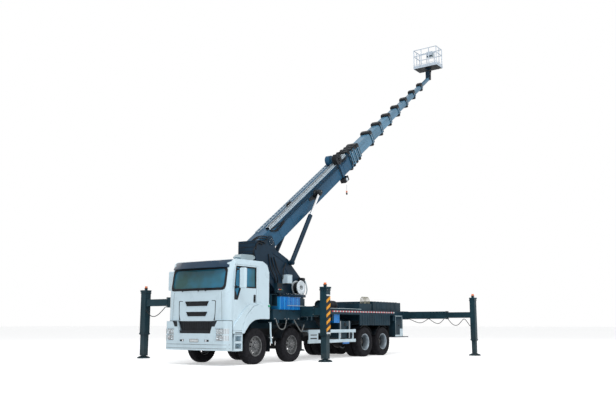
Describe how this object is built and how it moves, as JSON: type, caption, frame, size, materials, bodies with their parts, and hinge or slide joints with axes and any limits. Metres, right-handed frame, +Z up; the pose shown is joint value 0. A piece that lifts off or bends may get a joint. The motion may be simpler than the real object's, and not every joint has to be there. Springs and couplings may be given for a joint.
{
  "type": "cherry picker truck",
  "caption": "Cherry picker truck: tilting cab, telescopic outriggers, slewing turret and a long telescopic boom with a railed work platform.",
  "frame": {"origin": "on the ground, under the middle of the whole length from bumper to platform and of the whole width over the outriggers' feet, 0.175 m to the right of the truck's centre line", "axes": "+X forward towards the cab, +Y to the truck's left, +Z up"},
  "size_m": [17.018, 9.3, 15.1724],
  "materials": {
    "frame_paint": "satin",
    "engine_iron": "rough",
    "lamp_lens": "polished",
    "guard_plastic": "matt",
    "deck_paint": "satin",
    "cab_paint": "gloss",
    "tank_paint": "gloss",
    "equipment_paint": "satin",
    "cabinet_paint": "satin",
    "window_glass": "polished",
    "interior_plastic": "matt",
    "trim_plastic": "satin",
    "turret_paint": "satin",
    "rod_chrome": "polished",
    "base_boom_paint": "gloss",
    "inner_boom_paint": "gloss",
    "platform_metal": "brushed",
    "outrigger_paint": "satin",
    "tyre_rubber": "matt"
  },
  "bodies": {
    "chassis": {"chassis_frame": "frame_paint", "engine_block": "engine_iron", "steered_axles": "frame_paint", "drive_axles": "frame_paint", "mudguards": "guard_plastic", "superstructure": "deck_paint", "deck_panels": "deck_paint", "guard_rails": "cab_paint", "tanks": "tank_paint", "deck_equipment": "equipment_paint", "rear_cabinets": "cabinet_paint"},
    "cab": {"cab_shell": "cab_paint", "bumper_and_steps": "cab_paint", "headlamps": "lamp_lens", "front_trim": "trim_plastic", "cab_glass": "window_glass", "cab_interior": "interior_plastic"},
    "door_left": {"door_left": "cab_paint"},
    "door_right": {"door_right": "cab_paint"},
    "turret": {"turret": "turret_paint"},
    "lift_barrels": {"lift_barrels": "turret_paint"},
    "lift_rods": {"lift_rods": "rod_chrome"},
    "platform_mast": {"platform_mast": "turret_paint"},
    "platform": {"platform": "platform_metal"},
    "boom_section_1": {"boom_section_1": "base_boom_paint"},
    "boom_section_2": {"boom_section_2": "inner_boom_paint"},
    "boom_section_3": {"boom_section_3": "inner_boom_paint"},
    "boom_section_4": {"boom_section_4": "inner_boom_paint"},
    "boom_section_5": {"boom_section_5": "inner_boom_paint"},
    "boom_section_6": {"boom_section_6": "inner_boom_paint"},
    "boom_section_7": {"boom_section_7": "inner_boom_paint"},
    "boom_section_8": {"boom_section_8": "inner_boom_paint"},
    "boom_section_9": {"boom_section_9": "inner_boom_paint"},
    "boom_section_10": {"boom_section_10": "inner_boom_paint"},
    "boom_section_11": {"boom_section_11": "inner_boom_paint"},
    "boom_section_12": {"boom_section_12": "inner_boom_paint"},
    "outrigger_beam_front_left": {"outrigger_beam_front_left": "outrigger_paint"},
    "outrigger_post_front_left": {"outrigger_post_front_left": "outrigger_paint"},
    "outrigger_leg_front_left": {"outrigger_leg_front_left": "outrigger_paint"},
    "outrigger_beam_front_right": {"outrigger_beam_front_right": "outrigger_paint"},
    "outrigger_post_front_right": {"outrigger_post_front_right": "outrigger_paint"},
    "outrigger_leg_front_right": {"outrigger_leg_front_right": "outrigger_paint"},
    "outrigger_beam_rear_left": {"outrigger_beam_rear_left": "outrigger_paint"},
    "outrigger_post_rear_left": {"outrigger_post_rear_left": "outrigger_paint"},
    "outrigger_leg_rear_left": {"outrigger_leg_rear_left": "outrigger_paint"},
    "outrigger_beam_rear_right": {"outrigger_beam_rear_right": "outrigger_paint"},
    "outrigger_post_rear_right": {"outrigger_post_rear_right": "outrigger_paint"},
    "outrigger_leg_rear_right": {"outrigger_leg_rear_right": "outrigger_paint"},
    "knuckle_1_left": {"knuckle_1_left": "engine_iron"},
    "knuckle_1_right": {"knuckle_1_right": "engine_iron"},
    "knuckle_2_left": {"knuckle_2_left": "engine_iron"},
    "knuckle_2_right": {"knuckle_2_right": "engine_iron"},
    "wheel_1_left": {"wheel_1_left": "tyre_rubber"},
    "wheel_1_right": {"wheel_1_right": "tyre_rubber"},
    "wheel_2_left": {"wheel_2_left": "tyre_rubber"},
    "wheel_2_right": {"wheel_2_right": "tyre_rubber"},
    "wheel_3_left": {"wheel_3_left": "tyre_rubber"},
    "wheel_3_right": {"wheel_3_right": "tyre_rubber"},
    "wheel_4_left": {"wheel_4_left": "tyre_rubber"},
    "wheel_4_right": {"wheel_4_right": "tyre_rubber"}
  },
  "joints": [
    {"name": "cab_tilt", "type": "hinge", "parent": "chassis", "child": "cab", "pos_m": [8.26897, 0.175, 0.72], "axis": [0, 1, 0], "range_deg": [0, 45]},
    {"name": "door_left", "type": "hinge", "parent": "cab", "child": "door_left", "pos_m": [8.20397, 1.4, 1.9825], "axis": [0, 0, -1], "range_deg": [0, 70]},
    {"name": "door_right", "type": "hinge", "parent": "cab", "child": "door_right", "pos_m": [8.20397, -1.05, 1.9825], "axis": [0, 0, 1], "range_deg": [0, 70]},
    {"name": "steer_1_left", "type": "hinge", "parent": "chassis", "child": "knuckle_1_left", "pos_m": [7.05397, 1.033, 0.54], "axis": [0, 0, 1], "range_deg": [-35, 35]},
    {"name": "spin_1_left", "type": "hinge", "parent": "knuckle_1_left", "child": "wheel_1_left", "pos_m": [7.05397, 1.21, 0.54], "axis": [0, 1, 0], "continuous": true},
    {"name": "steer_1_right", "type": "hinge", "parent": "chassis", "child": "knuckle_1_right", "pos_m": [7.05397, -0.683, 0.54], "axis": [0, 0, 1], "range_deg": [-35, 35]},
    {"name": "spin_1_right", "type": "hinge", "parent": "knuckle_1_right", "child": "wheel_1_right", "pos_m": [7.05397, -0.86, 0.54], "axis": [0, 1, 0], "continuous": true},
    {"name": "steer_2_left", "type": "hinge", "parent": "chassis", "child": "knuckle_2_left", "pos_m": [5.21397, 1.033, 0.54], "axis": [0, 0, 1], "range_deg": [-22.8, 22.8]},
    {"name": "spin_2_left", "type": "hinge", "parent": "knuckle_2_left", "child": "wheel_2_left", "pos_m": [5.21397, 1.21, 0.54], "axis": [0, 1, 0], "continuous": true},
    {"name": "steer_2_right", "type": "hinge", "parent": "chassis", "child": "knuckle_2_right", "pos_m": [5.21397, -0.683, 0.54], "axis": [0, 0, 1], "range_deg": [-22.8, 22.8]},
    {"name": "spin_2_right", "type": "hinge", "parent": "knuckle_2_right", "child": "wheel_2_right", "pos_m": [5.21397, -0.86, 0.54], "axis": [0, 1, 0], "continuous": true},
    {"name": "spin_3_left", "type": "hinge", "parent": "chassis", "child": "wheel_3_left", "pos_m": [0.65397, 1.1, 0.54], "axis": [0, 1, 0], "continuous": true},
    {"name": "spin_3_right", "type": "hinge", "parent": "chassis", "child": "wheel_3_right", "pos_m": [0.65397, -0.75, 0.54], "axis": [0, 1, 0], "continuous": true},
    {"name": "spin_4_left", "type": "hinge", "parent": "chassis", "child": "wheel_4_left", "pos_m": [-0.70103, 1.1, 0.54], "axis": [0, 1, 0], "continuous": true},
    {"name": "spin_4_right", "type": "hinge", "parent": "chassis", "child": "wheel_4_right", "pos_m": [-0.70103, -0.75, 0.54], "axis": [0, 1, 0], "continuous": true},
    {"name": "extend_front_left", "type": "slide", "parent": "chassis", "child": "outrigger_beam_front_left", "axis": [0, 1, 0], "range_m": [-0.45, 1.66667]},
    {"name": "extend_post_front_left", "type": "slide", "parent": "outrigger_beam_front_left", "child": "outrigger_post_front_left", "axis": [0, 1, 0], "range_m": [-0.2251, 0.83343]},
    {"name": "leg_front_left", "type": "slide", "parent": "outrigger_post_front_left", "child": "outrigger_leg_front_left", "axis": [0, 0, 1], "range_m": [-0.1, 0.68]},
    {"name": "extend_front_right", "type": "slide", "parent": "chassis", "child": "outrigger_beam_front_right", "axis": [0, -1, 0], "range_m": [-2.11667, 0]},
    {"name": "extend_post_front_right", "type": "slide", "parent": "outrigger_beam_front_right", "child": "outrigger_post_front_right", "axis": [0, -1, 0], "range_m": [-1.05843, 0.0001]},
    {"name": "leg_front_right", "type": "slide", "parent": "outrigger_post_front_right", "child": "outrigger_leg_front_right", "axis": [0, 0, 1], "range_m": [-0.1, 0.68]},
    {"name": "extend_rear_left", "type": "slide", "parent": "chassis", "child": "outrigger_beam_rear_left", "axis": [0, 1, 0], "range_m": [-1.88333, 0.23333]},
    {"name": "extend_post_rear_left", "type": "slide", "parent": "outrigger_beam_rear_left", "child": "outrigger_post_rear_left", "axis": [0, 1, 0], "range_m": [-0.94177, 0.11677]},
    {"name": "leg_rear_left", "type": "slide", "parent": "outrigger_post_rear_left", "child": "outrigger_leg_rear_left", "axis": [0, 0, 1], "range_m": [-0.1, 0.43]},
    {"name": "extend_rear_right", "type": "slide", "parent": "chassis", "child": "outrigger_beam_rear_right", "axis": [0, -1, 0], "range_m": [-1.88333, 0.23333]},
    {"name": "extend_post_rear_right", "type": "slide", "parent": "outrigger_beam_rear_right", "child": "outrigger_post_rear_right", "axis": [0, -1, 0], "range_m": [-0.94177, 0.11677]},
    {"name": "leg_rear_right", "type": "slide", "parent": "outrigger_post_rear_right", "child": "outrigger_leg_rear_right", "axis": [0, 0, 1], "range_m": [-0.1, 0.43]},
    {"name": "slew", "type": "hinge", "parent": "chassis", "child": "turret", "pos_m": [4.15397, 0.175, 2.06], "axis": [0, 0, 1], "continuous": true},
    {"name": "luff", "type": "hinge", "parent": "turret", "child": "boom_section_1", "pos_m": [5.32397, 0.175, 3.93], "axis": [0, 1, 0], "range_deg": [-35, 40]},
    {"name": "telescope_2", "type": "slide", "parent": "boom_section_1", "child": "boom_section_2", "axis": [-0.8116, 0, 0.5842], "range_m": [0, 3.4]},
    {"name": "telescope_3", "type": "slide", "parent": "boom_section_2", "child": "boom_section_3", "axis": [-0.8116, 0, 0.5842], "range_m": [0, 3.4]},
    {"name": "telescope_4", "type": "slide", "parent": "boom_section_3", "child": "boom_section_4", "axis": [-0.8116, 0, 0.5842], "range_m": [0, 3.4]},
    {"name": "telescope_5", "type": "slide", "parent": "boom_section_4", "child": "boom_section_5", "axis": [-0.8116, 0, 0.5842], "range_m": [-0.78, 2.62]},
    {"name": "telescope_6", "type": "slide", "parent": "boom_section_5", "child": "boom_section_6", "axis": [-0.8116, 0, 0.5842], "range_m": [-0.78, 2.62]},
    {"name": "telescope_7", "type": "slide", "parent": "boom_section_6", "child": "boom_section_7", "axis": [-0.8116, 0, 0.5842], "range_m": [-0.78, 2.62]},
    {"name": "telescope_8", "type": "slide", "parent": "boom_section_7", "child": "boom_section_8", "axis": [-0.8116, 0, 0.5842], "range_m": [-0.78, 2.62]},
    {"name": "telescope_9", "type": "slide", "parent": "boom_section_8", "child": "boom_section_9", "axis": [-0.8116, 0, 0.5842], "range_m": [-0.78, 2.62]},
    {"name": "telescope_10", "type": "slide", "parent": "boom_section_9", "child": "boom_section_10", "axis": [-0.8116, 0, 0.5842], "range_m": [-0.78, 2.62]},
    {"name": "telescope_11", "type": "slide", "parent": "boom_section_10", "child": "boom_section_11", "axis": [-0.8116, 0, 0.5842], "range_m": [-0.78, 2.62]},
    {"name": "telescope_12", "type": "slide", "parent": "boom_section_11", "child": "boom_section_12", "axis": [-0.8116, 0, 0.5842], "range_m": [-0.78, 2.62]},
    {"name": "lift_swing", "type": "hinge", "parent": "turret", "child": "lift_barrels", "pos_m": [4.25397, 0.175, 3.3], "axis": [0, 1, 0], "range_deg": [-36, 41]},
    {"name": "lift_stroke", "type": "slide", "parent": "lift_barrels", "child": "lift_rods", "axis": [-0.5349, 0, 0.8449], "range_m": [-0.72, 0.82]},
    {"name": "platform_level", "type": "hinge", "parent": "boom_section_12", "child": "platform_mast", "pos_m": [-8.14897, 0.175, 13.62913], "axis": [0, 1, 0], "range_deg": [-41, 36]},
    {"name": "platform_turn", "type": "hinge", "parent": "platform_mast", "child": "platform", "pos_m": [-8.14897, 0.175, 14.15943], "axis": [0, 0, 1], "range_deg": [-90, 90]}
  ],
  "couplings": [
    {"joint": "steer_1_right", "follows": "steer_1_left", "ratio": 1},
    {"joint": "steer_2_left", "follows": "steer_1_left", "ratio": 0.65},
    {"joint": "steer_2_right", "follows": "steer_1_left", "ratio": 0.65},
    {"joint": "extend_post_front_left", "follows": "extend_front_left", "ratio": 0.5},
    {"joint": "extend_post_front_right", "follows": "extend_front_right", "ratio": 0.5},
    {"joint": "extend_post_rear_left", "follows": "extend_rear_left", "ratio": 0.5},
    {"joint": "extend_post_rear_right", "follows": "extend_rear_right", "ratio": 0.5},
    {"joint": "telescope_3", "follows": "telescope_2", "ratio": 1},
    {"joint": "telescope_4", "follows": "telescope_2", "ratio": 1},
    {"joint": "telescope_6", "follows": "telescope_5", "ratio": 1},
    {"joint": "telescope_7", "follows": "telescope_5", "ratio": 1},
    {"joint": "telescope_8", "follows": "telescope_5", "ratio": 1},
    {"joint": "telescope_9", "follows": "telescope_5", "ratio": 1},
    {"joint": "telescope_10", "follows": "telescope_5", "ratio": 1},
    {"joint": "telescope_11", "follows": "telescope_5", "ratio": 1},
    {"joint": "telescope_12", "follows": "telescope_5", "ratio": 1},
    {"joint": "lift_swing", "follows": "luff", "ratio": 1},
    {"joint": "lift_stroke", "follows": "luff", "m_per_rad": 1.146},
    {"joint": "platform_level", "follows": "luff", "ratio": -1}
  ]
}
